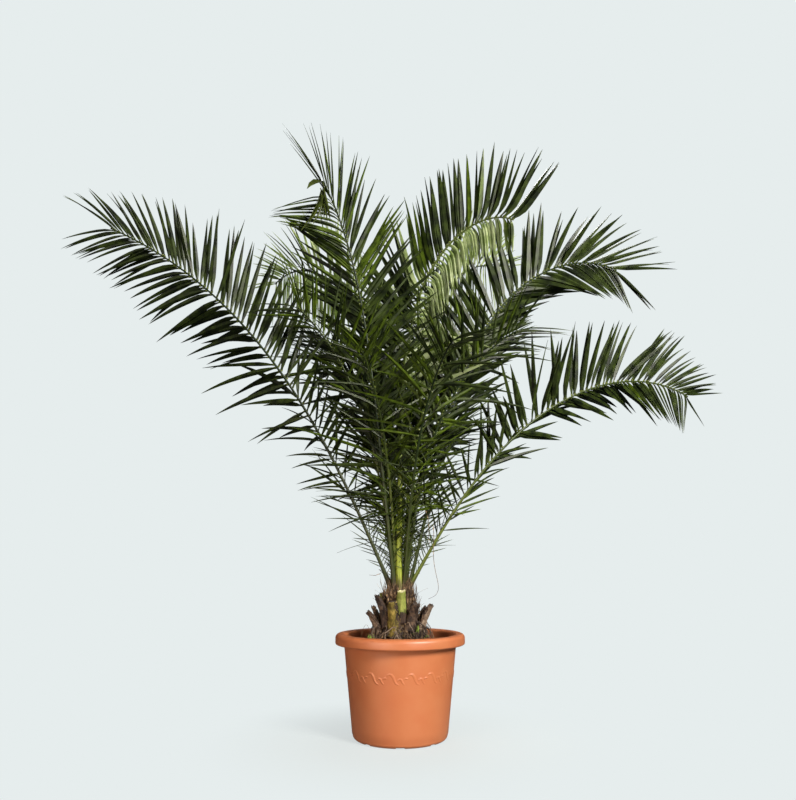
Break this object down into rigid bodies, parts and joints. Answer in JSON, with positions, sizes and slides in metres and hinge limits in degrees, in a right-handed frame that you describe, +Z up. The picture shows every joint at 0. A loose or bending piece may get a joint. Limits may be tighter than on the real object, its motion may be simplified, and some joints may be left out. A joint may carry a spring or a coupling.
{
  "type": "potted date palm tree",
  "caption": "Young date palm with a short fibrous trunk and a fountain of arching feather fronds, standing in a round terracotta-coloured planter.",
  "frame": {"origin": "middle of the pot's flat underside, on the pot's own axis", "axes": "+Z up along the pot's axis; -Y towards the front, +X to the front's right"},
  "size_m": [2.3875, 1.6822, 1.8608],
  "materials": {
    "terracotta_plastic": "moulded satin planter plastic",
    "potting_soil": "moist crumbly potting soil",
    "trunk_fibre": "matted brown palm fibre",
    "cut_leaf_base": "dry cut leaf base with a pale sawn end",
    "palm_leaf": "leathery green leaflets on a yellow-green rib"
  },
  "bodies": {
    "root": {"pot": "terracotta_plastic", "potting_soil": "potting_soil", "trunk": "trunk_fibre", "leaf_base_01": "cut_leaf_base", "leaf_base_02": "cut_leaf_base", "leaf_base_03": "cut_leaf_base", "leaf_base_04": "cut_leaf_base", "leaf_base_05": "cut_leaf_base", "leaf_base_06": "cut_leaf_base", "leaf_base_07": "cut_leaf_base", "leaf_base_08": "cut_leaf_base", "leaf_base_09": "cut_leaf_base", "leaf_base_10": "cut_leaf_base", "leaf_base_11": "cut_leaf_base", "leaf_base_12": "cut_leaf_base", "frond_left_long_lower": "palm_leaf", "frond_left_long_upper": "palm_leaf", "frond_right_low_lower": "palm_leaf", "frond_right_low_upper": "palm_leaf", "frond_right_high_lower": "palm_leaf", "frond_right_high_upper": "palm_leaf", "frond_front_right_lower": "palm_leaf", "frond_front_right_upper": "palm_leaf", "frond_front_left_lower": "palm_leaf", "frond_front_left_upper": "palm_leaf", "frond_back_left_lower": "palm_leaf", "frond_back_left_upper": "palm_leaf", "frond_back_right_lower": "palm_leaf", "frond_back_right_upper": "palm_leaf", "frond_back_high_lower": "palm_leaf", "frond_back_high_upper": "palm_leaf", "frond_back_mid_lower": "palm_leaf", "frond_back_mid_upper": "palm_leaf", "frond_back_deep_lower": "palm_leaf", "frond_back_deep_upper": "palm_leaf", "frond_back_low_lower": "palm_leaf", "frond_back_low_upper": "palm_leaf", "frond_right_back_lower": "palm_leaf", "frond_right_back_upper": "palm_leaf", "frond_front_short_lower": "palm_leaf", "frond_front_short_upper": "palm_leaf", "frond_front_inner_lower": "palm_leaf", "frond_front_inner_upper": "palm_leaf", "frond_inner_left_lower": "palm_leaf", "frond_inner_left_upper": "palm_leaf", "frond_inner_right_lower": "palm_leaf", "frond_inner_right_upper": "palm_leaf", "spear_leaf": "palm_leaf"}
  },
  "joints": []
}
